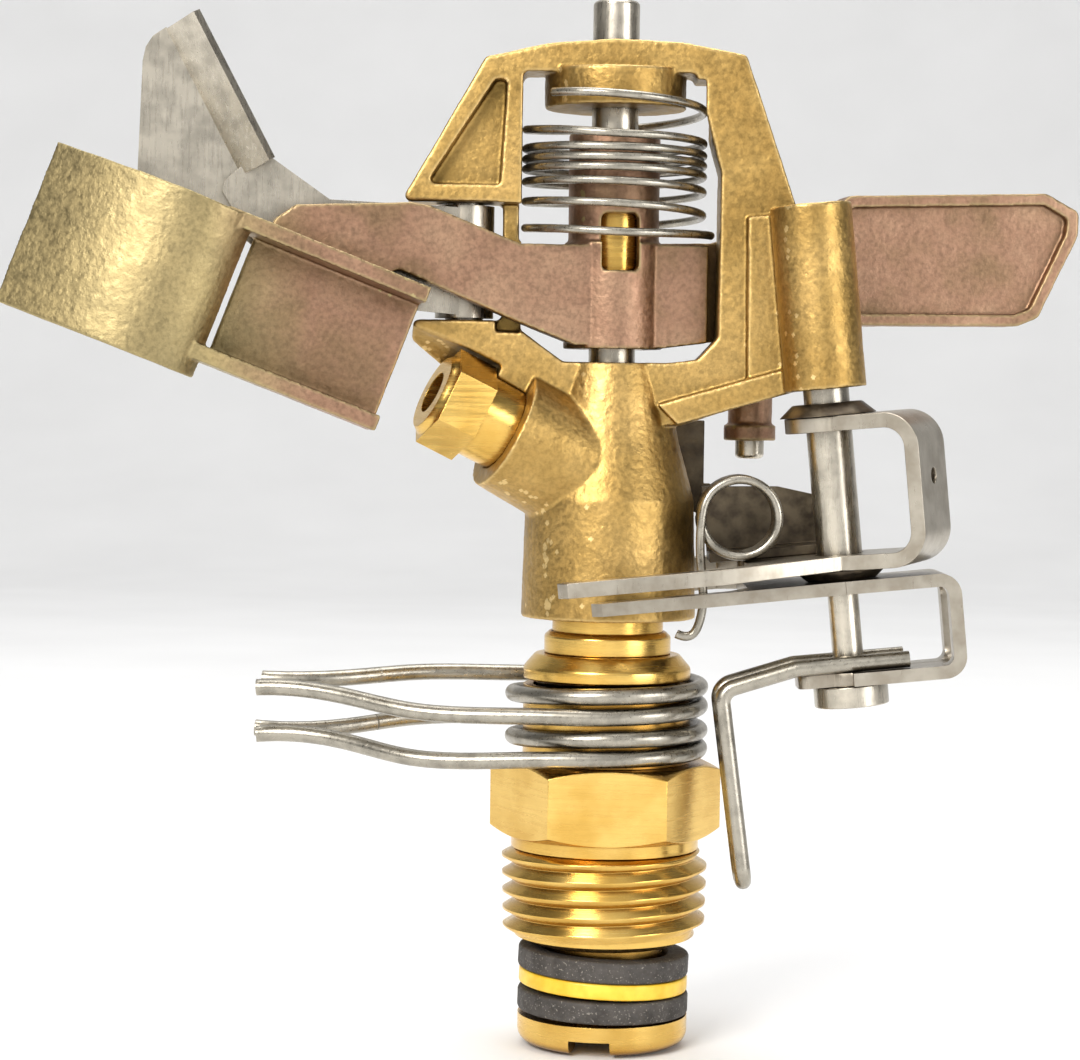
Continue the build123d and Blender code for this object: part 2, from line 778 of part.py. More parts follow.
# ---------------------------------------------------------------- trip mechanism
def disc(radius, low, high, top_radius=None, mode=Mode.ADD):
    """A disc or cone round the trip axis."""
    with BuildSketch(trip_plane(low)) as base:
        Circle(radius)
    if top_radius is None:
        extrude(base.sketch, amount=high - low, mode=mode)
    else:
        with BuildSketch(trip_plane(high)) as top:
            Circle(top_radius)
        loft(sections=[base.sketch, top.sketch], mode=mode)


with BuildPart() as trip_shaft:
    disc(SHAFT_RADIUS, SHAFT_STEP, SHAFT_TOP)
    disc(SHAFT_TIP_RADIUS, LEVER_LOW - RUNNING_GAP * 2, SHAFT_STEP)
    disc(SHAFT_HEAD_RADIUS, LEVER_LOW - RUNNING_GAP * 2 - SHAFT_HEAD, LEVER_LOW - RUNNING_GAP * 2)

with BuildPart() as upper_friction_washer:
    bracket_top = BRACKET_HIGH + BRACKET_SHEET
    disc(4.9, bracket_top + RUNNING_GAP, UPPER_WASHER_TOP, 3.5)
    disc(SHAFT_RADIUS + PIVOT_GAP, bracket_top, UPPER_WASHER_TOP, mode=Mode.SUBTRACT)

with BuildPart() as lower_friction_washer:
    disc(3.5, LEVER_SHEET + RUNNING_GAP, BRACKET_LOW - RUNNING_GAP, 4.6)
    disc(SHAFT_RADIUS + PIVOT_GAP, LEVER_SHEET, BRACKET_LOW, mode=Mode.SUBTRACT)


def fork(low, thickness, front_gap, rear_gap, tip):
    """A flat fork that straddles the body barrel with a finger on either side."""
    front = BODY_ASIDE - BARREL_RADIUS - front_gap
    rear = BODY_ASIDE + BARREL_RADIUS + rear_gap
    web = -BODY_AWAY + BARREL_RADIUS + 5.0
    with BuildSketch(trip_plane(low)) as outline:
        with BuildLine():
            Polyline(
                (0, -4.2),
                (web - 3, front - FINGER_WIDTH),
                (-tip + 1.0, front - FINGER_WIDTH),
                (-tip, front - FINGER_WIDTH / 2),
                (-tip + 0.6, front),
                (web - 2.0, front),
                (web, front + 2.6),
                (web, rear - 2.6),
                (web - 2.0, rear),
                (-tip + 0.6, rear),
                (-tip, rear + FINGER_WIDTH / 2),
                (-tip + 1.0, rear + FINGER_WIDTH),
                (web - 1.5, rear + FINGER_WIDTH),
                (web + 4.2, rear - 2.0),
                (0, 4.2),
                close=True,
            )
        make_face()
        Circle(4.2)
    extrude(outline.sketch, amount=thickness)


def bent_strip(turn, low, high, sheet, reach, bend, half_width):
    """A strip bent to a U round the trip axis, open on the side away from the turn."""
    frame = trip_plane(0)
    t = radians(turn)
    out = frame.x_dir * cos(t) + frame.y_dir * sin(t)
    side = Plane(origin=frame.origin, x_dir=out, z_dir=out.cross(frame.z_dir))
    with BuildSketch(side) as profile:
        with BuildLine():
            FilletPolyline(
                (0, low),
                (reach, low),
                (reach, high),
                (0, high),
                (0, high - sheet),
                (reach - sheet, high - sheet),
                (reach - sheet, low + sheet),
                (0, low + sheet),
                radius=[0, bend, bend, 0, 0, bend - sheet, bend - sheet, 0],
                close=True,
            )
        make_face()
    extrude(profile.sketch, amount=half_width, both=True)
    return Plane(origin=frame.origin, x_dir=frame.z_dir.cross(out), z_dir=out)


travel_gap = BODY_AWAY * radians(TRAVEL) + 0.4
with BuildPart() as trip_bracket:
    face = bent_strip(
        BRACKET_TURN, BRACKET_LOW, bracket_top, BRACKET_SHEET, BRACKET_REACH, BRACKET_BEND,
        BRACKET_HALF_WIDTH,
    )
    disc(BRACKET_HALF_WIDTH + 0.4, BRACKET_HIGH, bracket_top)
    fork(BRACKET_LOW, BRACKET_SHEET, travel_gap, 0.4, FINGER_TIP)
    disc(SHAFT_RADIUS + PIVOT_GAP, BRACKET_LOW, bracket_top, mode=Mode.SUBTRACT)
    with BuildSketch(face):
        with Locations((0, (BRACKET_LOW + bracket_top) / 2 + 1.0)):
            Circle(BRACKET_HOLE)
    extrude(amount=BRACKET_REACH + 1, mode=Mode.SUBTRACT)
    with BuildSketch(trip_plane(BRACKET_LOW)):
        with Locations((RIVET_X, RIVET_Y)):
            Circle(RIVET_RADIUS / 2)
    extrude(amount=BRACKET_SHEET, mode=Mode.SUBTRACT)

with BuildPart() as trip_lever:
    face = bent_strip(
        0, LEVER_LOW, LEVER_SHEET, LEVER_SHEET, LEVER_REACH, LEVER_BEND, LEVER_HALF_WIDTH
    )
    fork(0, LEVER_SHEET, 0.4, travel_gap, FINGER_TIP - 3.2)
    with BuildSketch(trip_plane(LEVER_LOW)):
        with Locations((-2.7, 0)):
            RectangleRounded(5.4, 5.6, 1.2)
        Circle(3.4)
    extrude(amount=LEVER_SHEET)
    disc(SHAFT_TIP_RADIUS + PIVOT_GAP, LEVER_LOW, LEVER_SHEET, mode=Mode.SUBTRACT)
    # windows that leave a strip at the front and the rear of the bend
    with BuildSketch(face):
        with Locations((0, (LEVER_LOW + LEVER_SHEET) / 2)):
            RectangleRounded(5.0, 8.0, 1.4)
    extrude(amount=LEVER_REACH + 1, mode=Mode.SUBTRACT)

with BuildPart() as reversing_dog:
    # foot on the bracket, with an upright wall behind it and a finger behind the body neck
    foot = BRACKET_LOW + BRACKET_SHEET
    with BuildSketch(trip_plane(foot)):
        with Locations((-6.4, 5.8)):
            Rectangle(13.0, 5.8)
    extrude(amount=DOG_SHEET)
    axes = trip_plane(0)
    wall_foot = axes.from_local_coords((0, 8.7, 0))
    with BuildSketch(Plane(origin=wall_foot, x_dir=axes.x_dir, z_dir=-axes.y_dir)):
        with BuildLine():
            Polyline(
                (-12.9, foot),
                (-12.9, 11.6),
                (-5.0, 10.9),
                (0.1, 9.3),
                (0.1, foot),
                close=True,
            )
        make_face()
    extrude(amount=DOG_SHEET)
    with BuildSketch(Plane(origin=(DOG_FINGER_X, DOG_FINGER_Y, TRIP_Z + 8.0))):
        Rectangle(3.4, DOG_SHEET)
    extrude(amount=9.0)
    plate(
        Plane(origin=(0, DOG_FINGER_Y + DOG_SHEET / 2, 0), x_dir=(1, 0, 0), z_dir=(0, -1, 0)),
        [(7.2, 35.0), (13.0, 33.0), (13.0, 36.4), (10.6, 37.4), (7.2, 37.4)],
        DOG_SHEET,
    )
    with Locations((12.5, 4.4, 34.7)):
        Box(DOG_SHEET, 6.2, 3.4)

with BuildPart() as trip_rod:
    low_wire = LEVER_LOW + LEVER_SHEET + ROD_WIRE + RUNNING_GAP
    points = []
    for side in (ROD_FRONT, ROD_REAR):
        run = [
            trip_point(5.8, side, low_wire),
            trip_point(-5.4, side, low_wire),
            trip_point(-13.2, side, low_wire - 1.6),
            Vector(ROD_FOOT[0], TRIP_Y + side, ROD_FOOT[1]),
        ]
        points += run if side == ROD_FRONT else run[::-1]
    bent_wire(points, ROD_WIRE, ROD_BEND)

with BuildPart() as trip_spring:
    x, z = TRIP_COIL
    ring = []
    for step in range(TRIP_TURNS * 12 + 1):
        a = radians(180) - 2 * pi * step / 12
        depth = TRIP_COIL_FRONT + step / 12 * TRIP_COIL_PITCH
        ring.append((x + TRIP_COIL_RADIUS * cos(a), depth, z + TRIP_COIL_RADIUS * sin(a)))
    leg = [(6.7, -8.3, 22.7), (8.4, -8.3, 22.75), (8.95, -8.3, 23.8), (9.02, -8.4, 30.0)]
    wire(leg + ring, TRIP_WIRE)

with BuildPart() as dog_rivet:
    with BuildSketch(trip_plane(BRACKET_LOW)):
        with Locations((RIVET_X, RIVET_Y)):
            Circle(RIVET_RADIUS / 2)
    extrude(amount=BRACKET_SHEET)
    with BuildSketch(trip_plane(BRACKET_LOW - 0.6)):
        with Locations((RIVET_X, RIVET_Y)):
            Circle(RIVET_RADIUS)
    extrude(amount=0.6)

# ---------------------------------------------------------------- friction collars
def collar(turns, rear_leg, front_leg):
    """A torsion clip: a leg to the rear, one and a half turns down, and a leg to the front."""
    rear_start, front_one, rear_two, front_two = turns
    ring = []
    for step in range(19):
        a = radians(90) - 2 * pi * step / 12
        heights = (rear_start, front_one, rear_two, front_two)
        span = min(step // 6, 2)
        share = step / 6 - span
        height = heights[span] + (heights[span + 1] - heights[span]) * share
        ring.append((COLLAR_RADIUS * cos(a), COLLAR_RADIUS * sin(a), height))
    wire(rear_leg[::-1] + ring + front_leg, COLLAR_WIRE)


with BuildPart() as collar_upper:
    collar(
        UPPER_TURNS,
        [(-8.4, 8.9, 17.0), (-20.0, 6.6, 17.1), (-26.2, 3.4, 16.8), (-35.6, 1.4, 16.7)],
        [(-8.2, -9.3, 14.3), (-20.0, -7.0, 14.5), (-27.0, -4.0, 15.6), (-35.9, -1.8, 16.1)],
    )

with BuildPart() as collar_lower:
    collar(
        LOWER_TURNS,
        [(-8.4, 8.9, 12.4), (-20.0, 6.6, 12.35), (-26.6, 3.4, 11.7), (-36.3, 1.4, 11.6)],
        [(-8.2, -9.3, 9.9), (-20.0, -7.2, 9.8), (-26.0, -4.2, 10.8), (-35.9, -1.8, 11.3)],
    )

inlet_nipple.part.label = "inlet_nipple"
bearing_tube.part.label = "bearing_tube"
upper_seal_washer.part.label = "upper_seal_washer"
wear_washer.part.label = "wear_washer"
lower_seal_washer.part.label = "lower_seal_washer"
bearing_spring.part.label = "bearing_spring"
dust_collar.part.label = "dust_collar"
retaining_ring.part.label = "retaining_ring"
body_casting.part.label = "body_casting"
nozzle.part.label = "nozzle"
fulcrum_pin.part.label = "fulcrum_pin"
impact_arm.part.label = "impact_arm"
arm_bush.part.label = "arm_bush"
lug_tip.part.label = "lug_tip"
arm_spring.part.label = "arm_spring"
deflector_pin.part.label = "deflector_pin"
deflector.part.label = "deflector"
trip_shaft.part.label = "trip_shaft"
upper_friction_washer.part.label = "upper_friction_washer"
lower_friction_washer.part.label = "lower_friction_washer"
trip_bracket.part.label = "trip_bracket"
trip_lever.part.label = "trip_lever"
reversing_dog.part.label = "reversing_dog"
trip_rod.part.label = "trip_rod"
trip_spring.part.label = "trip_spring"
dog_rivet.part.label = "dog_rivet"
collar_upper.part.label = "collar_upper"
collar_lower.part.label = "collar_lower"

export_step(inlet_nipple.part, "parts/inlet_nipple.step")
export_step(bearing_tube.part, "parts/bearing_tube.step")
export_step(upper_seal_washer.part, "parts/upper_seal_washer.step")
export_step(wear_washer.part, "parts/wear_washer.step")
export_step(lower_seal_washer.part, "parts/lower_seal_washer.step")
export_step(bearing_spring.part, "parts/bearing_spring.step")
export_step(dust_collar.part, "parts/dust_collar.step")
export_step(retaining_ring.part, "parts/retaining_ring.step")
export_step(body_casting.part, "parts/body_casting.step")
export_step(nozzle.part, "parts/nozzle.step")
export_step(fulcrum_pin.part, "parts/fulcrum_pin.step")
export_step(impact_arm.part, "parts/impact_arm.step")
export_step(arm_bush.part, "parts/arm_bush.step")
export_step(lug_tip.part, "parts/lug_tip.step")
export_step(arm_spring.part, "parts/arm_spring.step")
export_step(deflector_pin.part, "parts/deflector_pin.step")
export_step(deflector.part, "parts/deflector.step")
export_step(trip_shaft.part, "parts/trip_shaft.step")
export_step(upper_friction_washer.part, "parts/upper_friction_washer.step")
export_step(lower_friction_washer.part, "parts/lower_friction_washer.step")
export_step(trip_bracket.part, "parts/trip_bracket.step")
export_step(trip_lever.part, "parts/trip_lever.step")
export_step(reversing_dog.part, "parts/reversing_dog.step")
export_step(trip_rod.part, "parts/trip_rod.step")
export_step(trip_spring.part, "parts/trip_spring.step")
export_step(dog_rivet.part, "parts/dog_rivet.step")
export_step(collar_upper.part, "parts/collar_upper.step")
export_step(collar_lower.part, "parts/collar_lower.step")
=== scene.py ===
"""The looks of the impact sprinkler: castings, turned brass, wire, sheet and seals.

Everything is in metres, in the frame of the CAD model.  Castings are remeshed copies with
rounded edges and a sand-cast skin, all other pieces are bevelled copies, and the inlet thread
is built anew as a helix.
"""

import json
from math import cos, pi, radians, sin

import bmesh
import bpy
from mathutils import Matrix, Vector, noise


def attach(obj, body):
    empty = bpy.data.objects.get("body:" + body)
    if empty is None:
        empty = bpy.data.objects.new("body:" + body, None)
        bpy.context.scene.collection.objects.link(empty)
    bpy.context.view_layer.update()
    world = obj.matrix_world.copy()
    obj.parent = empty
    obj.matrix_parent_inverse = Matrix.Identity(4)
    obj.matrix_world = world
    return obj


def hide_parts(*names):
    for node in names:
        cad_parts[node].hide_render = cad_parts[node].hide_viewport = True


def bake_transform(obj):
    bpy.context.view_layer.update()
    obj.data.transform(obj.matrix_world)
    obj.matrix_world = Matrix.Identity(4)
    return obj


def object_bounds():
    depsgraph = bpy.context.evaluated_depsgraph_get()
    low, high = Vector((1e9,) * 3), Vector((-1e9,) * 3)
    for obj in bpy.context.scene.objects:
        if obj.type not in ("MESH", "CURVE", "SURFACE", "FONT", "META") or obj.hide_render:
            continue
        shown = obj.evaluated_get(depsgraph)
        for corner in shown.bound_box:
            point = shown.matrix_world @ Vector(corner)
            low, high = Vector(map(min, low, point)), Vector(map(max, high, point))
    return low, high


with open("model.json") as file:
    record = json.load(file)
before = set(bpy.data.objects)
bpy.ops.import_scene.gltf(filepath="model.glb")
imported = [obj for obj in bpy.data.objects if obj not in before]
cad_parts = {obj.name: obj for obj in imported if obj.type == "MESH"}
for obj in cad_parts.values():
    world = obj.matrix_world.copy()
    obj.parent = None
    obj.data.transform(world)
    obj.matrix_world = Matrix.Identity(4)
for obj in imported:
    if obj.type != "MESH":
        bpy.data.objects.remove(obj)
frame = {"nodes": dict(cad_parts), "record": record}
cad_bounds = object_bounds()

MM = 0.001
# a mix node has a number, a vector and a colour socket under each name
COLOUR_SOCKET = 2
# length along X, centred on the origin, over which a casting changes colour
SPAN = 0.12
BODIES = frame["record"]["behaviour"]["bodies"]
NODE_BODY = {node: body for body, nodes in BODIES.items() for node in nodes}
NODE_SLOT = {part["node"]: part["material_slot"] for part in frame["record"]["subparts"]}


# ------------------------------------------------------------------ shader helpers
class Shader:
    """A material whose node tree is built by short calls."""

    def __init__(self, name):
        self.material = bpy.data.materials.new(name)
        self.material.use_nodes = True
        self.tree = self.material.node_tree
        self.surface = self.tree.nodes["Principled BSDF"]
        self.place = self.tree.nodes.new("ShaderNodeTexCoord").outputs["Object"]
        self.last_bump = None

    def set(self, **values):
        """Sets constants on the surface shader."""
        for name, value in values.items():
            self.surface.inputs[name.replace("_", " ")].default_value = value

    def link(self, output, name):
        """Drives one input of the surface shader."""
        self.tree.links.new(output, self.surface.inputs[name])

    def stretched(self, scale):
        """The place on the object, stretched by a scale along each axis."""
        node = self.tree.nodes.new("ShaderNodeMapping")
        node.inputs["Scale"].default_value = scale
        self.tree.links.new(self.place, node.inputs["Vector"])
        return node.outputs["Vector"]

    def along_x(self):
        """0 at the -X end of the length the material spans, 1 at its +X end."""
        shift = self.tree.nodes.new("ShaderNodeMapping")
        shift.inputs["Location"].default_value = (0.5, 0.0, 0.0)
        shift.inputs["Scale"].default_value = (1 / SPAN, 1.0, 1.0)
        self.tree.links.new(self.place, shift.inputs["Vector"])
        axes = self.tree.nodes.new("ShaderNodeSeparateXYZ")
        self.tree.links.new(shift.outputs["Vector"], axes.inputs["Vector"])
        return axes.outputs["X"]

    def noise(self, size, detail=3.0, roughness=0.55, place=None):
        """Cloudy noise whose lumps are about that many millimetres across."""
        node = self.tree.nodes.new("ShaderNodeTexNoise")
        node.inputs["Scale"].default_value = 1 / (size * MM)
        node.inputs["Detail"].default_value = detail
        node.inputs["Roughness"].default_value = roughness
        self.tree.links.new(place or self.place, node.inputs["Vector"])
        return node.outputs["Fac"]

    def ramp(self, value, *stops):
        """Maps a value to a colour or a grey through stops of (position, colour or grey)."""
        node = self.tree.nodes.new("ShaderNodeValToRGB")
        band = node.color_ramp
        while len(band.elements) < len(stops):
            band.elements.new(1.0)
        for element, (position, colour) in zip(band.elements, stops):
            element.position = position
            grey = isinstance(colour, (int, float))
            element.color = (colour, colour, colour, 1) if grey else (*colour, 1)
        self.tree.links.new(value, node.inputs["Fac"])
        return node.outputs["Color"]

    def mix(self, share, low, high, blend="MIX"):
        """Mixes two colours, each an output or a constant."""
        node = self.tree.nodes.new("ShaderNodeMix")
        node.data_type = "RGBA"
        node.blend_type = blend
        for name, value in (("Factor", share), ("A", low), ("B", high)):
            number_or_colour = 0 if name == "Factor" else COLOUR_SOCKET
            socket = [s for s in node.inputs if s.name == name][number_or_colour]
            if isinstance(value, bpy.types.NodeSocket):
                self.tree.links.new(value, socket)
            elif name == "Factor":
                socket.default_value = value
            else:
                socket.default_value = (*value, 1)
        return [s for s in node.outputs if s.name == "Result"][COLOUR_SOCKET]

    def edges(self, low, high):
        """0 on flats and hollows, 1 on worn outer edges."""
        node = self.tree.nodes.new("ShaderNodeNewGeometry")
        return self.ramp(node.outputs["Pointiness"], (low, 0.0), (high, 1.0))

    def hollows(self, reach):
        """Painted shade mask: 1 in the open, towards 0 in corners and hollows within that many
        millimetres.
        """
        node = self.tree.nodes.new("ShaderNodeAmbientOcclusion")
        node.samples = 4
        node.inputs["Distance"].default_value = reach * MM
        return node.outputs["AO"]

    def bump(self, height, depth, strength=1.0):
        """Adds relief that many millimetres deep on top of the relief so far."""
        node = self.tree.nodes.new("ShaderNodeBump")
        node.inputs["Strength"].default_value = strength
        node.inputs["Distance"].default_value = depth * MM
        self.tree.links.new(height, node.inputs["Height"])
        if self.last_bump:
            self.tree.links.new(self.last_bump, node.inputs["Normal"])
        self.last_bump = node.outputs["Normal"]
        self.link(self.last_bump, "Normal")


# ------------------------------------------------------------------ materials
def cast_metal(name, dark, mid, light, worn, crevice_shade, gloss, far=None):
    """Sand-cast metal: soft tarnish clouds, painted shade in corners and hollows, rubbed edges and
    a pebbled skin.

    A far colour takes over towards the -X end of the piece.
    """
    s = Shader(name)
    cloud = s.noise(9.0, 3.0, 0.55)
    body = s.ramp(cloud, (0.36, dark), (0.5, mid), (0.64, light))
    if far:
        end = s.ramp(cloud, (0.36, far[0]), (0.64, far[1]))
        body = s.mix(s.ramp(s.along_x(), (0.17, 1.0), (0.25, 0.0)), body, end)
    grain = s.ramp(s.noise(0.45, 3.0, 0.6), (0.34, 0.74), (0.62, 1.0))
    body = s.mix(1.0, body, grain, "MULTIPLY")
    body = s.mix(s.edges(0.505, 0.57), body, worn)
    # painted shade: the dark colour passed in is mixed in where the occlusion mask finds corners
    # and hollows
    hollow_shade = s.ramp(s.hollows(4.0), (0.2, 0.0), (0.8, 1.0))
    body = s.mix(hollow_shade, crevice_shade, body)
    s.link(body, "Base Color")
    s.link(s.ramp(s.noise(0.9, 3.0, 0.6), (0.35, gloss), (0.65, gloss + 0.14)), "Roughness")
    s.set(Metallic=1.0)
    s.bump(s.noise(0.85, 2.0, 0.5), 0.055, 0.7)
    s.bump(s.noise(0.34, 2.0, 0.55), 0.035, 0.9)
    return s.material


def turned_brass():
    """Bright turned brass with fine tool rings and a few darker patches."""
    s = Shader("turned_brass")
    body = s.ramp(s.noise(6.0, 3.0, 0.55), (0.35, (0.66, 0.40, 0.09)), (0.6, (0.80, 0.53, 0.15)))
    # painted shade: a dark brown is mixed in where the occlusion mask finds corners and hollows
    shade_in_corners = s.ramp(s.hollows(1.6), (0.3, 0.0), (0.8, 1.0))
    body = s.mix(shade_in_corners, (0.34, 0.17, 0.03), body)
    s.link(body, "Base Color")
    rings = s.noise(0.35, 3.0, 0.6, s.stretched((0.05, 0.05, 1.0)))
    s.link(s.ramp(rings, (0.3, 0.18), (0.7, 0.32)), "Roughness")
    s.set(Metallic=1.0)
    s.bump(rings, 0.012, 0.5)
    s.bump(s.noise(0.9, 3.0, 0.6), 0.02, 0.35)
    return s.material


def stainless(name, tone, rough, grain_axis, patch=2.5):
    """Stainless steel with a fine grain along one axis and cloudy gloss."""
    s = Shader(name)
    dull = tuple(c * 0.72 for c in tone)
    body = s.ramp(s.noise(patch, 4.0, 0.6), (0.36, dull), (0.58, tone))
    # painted shade: a darkened tone is mixed in where the occlusion mask finds corners and hollows
    corner_shade = s.ramp(s.hollows(1.5), (0.25, 0.0), (0.8, 1.0))
    body = s.mix(corner_shade, tuple(c * 0.35 for c in tone), body)
    s.link(body, "Base Color")
    grain = s.noise(0.28, 3.0, 0.6, s.stretched(grain_axis))
    s.link(s.ramp(grain, (0.3, rough * 0.8), (0.7, rough * 1.3)), "Roughness")
    s.set(Metallic=1.0)
    s.bump(grain, 0.010, 0.5)
    s.bump(s.noise(1.6, 3.0, 0.6), 0.025, 0.35)
    return s.material


def sheared_sheet():
    """Plated sheet: warm satin faces, softly mottled, with painted shade where pieces meet."""
    s = Shader("sheared_sheet")
    face = s.ramp(s.noise(2.6, 3.0, 0.55), (0.35, (0.34, 0.30, 0.24)), (0.64, (0.46, 0.42, 0.35)))
    # painted shade: a dark brown is mixed in where the occlusion mask finds corners and hollows
    corner_shade = s.ramp(s.hollows(2.5), (0.2, 0.0), (0.85, 1.0))
    s.link(s.mix(corner_shade, (0.10, 0.07, 0.04), face), "Base Color")
    grain = s.noise(0.3, 3.0, 0.6, s.stretched((1.0, 1.0, 0.12)))
    s.link(s.ramp(grain, (0.32, 0.27), (0.68, 0.40)), "Roughness")
    s.set(Metallic=1.0)
    s.bump(grain, 0.010, 0.6)
    s.bump(s.noise(0.9, 3.0, 0.55), 0.025, 0.45)
    return s.material


def dark_steel():
    """Oxidised steel, smooth and brown-black."""
    s = Shader("dark_steel")
    body = s.ramp(s.noise(1.6, 3.0, 0.55), (0.36, (0.065, 0.05, 0.035)), (0.64, (0.15, 0.12, 0.08)))
    s.link(body, "Base Color")
    s.link(s.ramp(s.noise(0.8, 3.0), (0.35, 0.32), (0.65, 0.5)), "Roughness")
    s.set(Metallic=0.9)
    s.bump(s.noise(0.7, 3.0), 0.025, 0.5)
    return s.material


def rubber():
    """Dark rubber with pale specks of grit and a faint mould skin."""
    s = Shader("seal_rubber")
    grit = s.ramp(s.noise(0.22, 2.0, 0.5), (0.62, 0.0), (0.70, 1.0))
    body = s.ramp(s.noise(2.0, 3.0), (0.35, (0.035, 0.030, 0.026)), (0.65, (0.070, 0.062, 0.055)))
    s.link(s.mix(grit, body, (0.22, 0.20, 0.17)), "Base Color")
    s.link(s.ramp(s.noise(0.8, 3.0), (0.35, 0.62), (0.65, 0.85)), "Roughness")
    s.bump(s.noise(0.3, 3.0), 0.04, 0.7)
    return s.material


def wear_plastic():
    """Waxy yellow plastic with a slight bloom."""
    s = Shader("wear_plastic")
    body = s.ramp(s.noise(2.5, 3.0), (0.35, (0.78, 0.46, 0.02)), (0.65, (0.93, 0.62, 0.06)))
    s.link(body, "Base Color")
    s.link(s.ramp(s.noise(0.7, 3.0), (0.35, 0.30), (0.65, 0.45)), "Roughness")
    s.set(Subsurface_Weight=0.15, Subsurface_Scale=0.0006)
    s.bump(s.noise(0.5, 3.0), 0.015, 0.5)
    return s.material


MATERIALS = {
    "cast_brass": cast_metal(
        "cast_brass", (0.40, 0.25, 0.075), (0.48, 0.31, 0.10), (0.55, 0.36, 0.125),
        # the second colour on the next line is painted shade for corners and hollows
        (0.74, 0.54, 0.24), (0.17, 0.11, 0.03), 0.36,
    ),
    "arm_bronze": cast_metal(
        "arm_bronze", (0.27, 0.17, 0.10), (0.34, 0.20, 0.13), (0.40, 0.25, 0.16),
        # the second colour on the next line is painted shade for corners and hollows
        (0.42, 0.34, 0.17), (0.12, 0.08, 0.03), 0.40,
        far=((0.30, 0.24, 0.12), (0.42, 0.33, 0.16)),
    ),
    "machined_brass": turned_brass(),
    "stainless": stainless("stainless", (0.58, 0.53, 0.44), 0.28, (1.0, 1.0, 0.08)),
    "spring_steel": stainless("drawn_wire", (0.40, 0.37, 0.31), 0.30, (1.0, 1.0, 1.0), 1.8),
    "trip_plate": sheared_sheet(),
    "dark_washer": dark_steel(),
    "rubber": rubber(),
    "wear_plastic": wear_plastic(),
}


# ------------------------------------------------------------------ mesh helpers
# edges that turn by more than this many degrees are bevelled
SHARP = 32


def finish_piece(obj, node, replace=True):
    """Gives a piece its material, its body and, unless told not to, its CAD node's place."""
    slot = NODE_SLOT[node]
    obj.data.materials.clear()
    obj.data.materials.append(MATERIALS[slot])
    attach(obj, NODE_BODY[node])
    if replace:
        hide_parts(node)
    return obj


def new_piece(name, mesh):
    """Links a mesh to the scene as a piece with smooth shading."""
    obj = bpy.data.objects.new(name, mesh)
    bpy.context.scene.collection.objects.link(obj)
    mesh.shade_smooth()
    return obj


def cleaned_copy(node, name):
    """A copy of a CAD node's mesh with its vertices joined and flat faces made whole."""
    mesh = frame["nodes"][node].data.copy()
    mesh.name = name
    work = bmesh.new()
    work.from_mesh(mesh)
    bmesh.ops.remove_doubles(work, verts=work.verts, dist=1e-6)
    bmesh.ops.dissolve_limit(work, angle_limit=radians(0.6), verts=work.verts, edges=work.edges)
    bmesh.ops.recalc_face_normals(work, faces=work.faces)
    work.to_mesh(mesh)
    work.free()
    return new_piece(name, mesh)


def apply_modifiers(obj):
    """Replaces a piece's mesh by what its modifiers make of it."""
    graph = bpy.context.evaluated_depsgraph_get()
    made = bpy.data.meshes.new_from_object(obj.evaluated_get(graph))
    obj.modifiers.clear()
    obj.data = made


def bevelled(node, width):
    """A CAD node with its sharp edges broken by a small bevel."""
    obj = cleaned_copy(node, node + "_finished")
    bevel = obj.modifiers.new("edges", "BEVEL")
    bevel.width = width * MM
    bevel.segments = 2
    bevel.limit_method = "ANGLE"
    bevel.angle_limit = radians(SHARP)
    bevel.harden_normals = False
    normals = obj.modifiers.new("normals", "WEIGHTED_NORMAL")
    normals.keep_sharp = True
    apply_modifiers(obj)
    return finish_piece(obj, node)


def cast(node, voxel, rounds, lumps):
    """A CAD node as a casting: edges rounded, surface slightly uneven."""
    obj = cleaned_copy(node, node + "_cast")
    remesh = obj.modifiers.new("remesh", "REMESH")
    remesh.mode = "VOXEL"
    remesh.voxel_size = voxel * MM
    smooth = obj.modifiers.new("round", "SMOOTH")
    smooth.factor = 0.5
    smooth.iterations = rounds
    apply_modifiers(obj)
    normals = [v.normal.copy() for v in obj.data.vertices]
    for vertex, normal in zip(obj.data.vertices, normals):
        at = vertex.co / MM
        coarse = noise.noise(at * 0.35)
        fine = noise.noise(at * 1.9)
        vertex.co += normal * (coarse * lumps + fine * lumps * 0.45) * MM
    obj.data.shade_smooth()
    return finish_piece(obj, node)


# ------------------------------------------------------------------ inlet thread
PITCH = 25.4 / 14
THREAD_LENGTH = 5 * PITCH
CREST, DEPTH = 10.62, 1.2
TAPER = 1 / 40
START_FADE, END_FADE = 0.9, 0.5
RING_FOOT = 8.9


def thread():
    """The taper pipe thread as a true right-hand helix with its ends faded out."""
    around, turns = 96, 7
    profile = ((0.0, 1.0), (0.08, 1.0), (0.46, 0.0), (0.54, 0.0), (0.92, 1.0))
    work = bmesh.new()
    grid = []
    for turn in range(turns):
        for share, height in profile:
            ring = []
            for i in range(around + 1):
                z = (turn + share + i / around - turns + 1) * PITCH
                z = min(0.0, max(-THREAD_LENGTH, z))
                fade = min((z + THREAD_LENGTH) / START_FADE, -z / END_FADE)
                radius = CREST + TAPER * z - DEPTH + DEPTH * min(height, fade)
                a = 2 * pi * i / around
                ring.append(work.verts.new((radius * cos(a) * MM, radius * sin(a) * MM, z * MM)))
            grid.append(ring)
    for low, high in zip(grid, grid[1:]):
        for i in range(around):
            work.faces.new((low[i], low[i + 1], high[i + 1], high[i]))
    bmesh.ops.dissolve_degenerate(work, dist=2e-6, edges=work.edges)
    mesh = bpy.data.meshes.new("inlet_thread")
    work.to_mesh(mesh)
    work.free()
    return new_piece("inlet_thread", mesh)


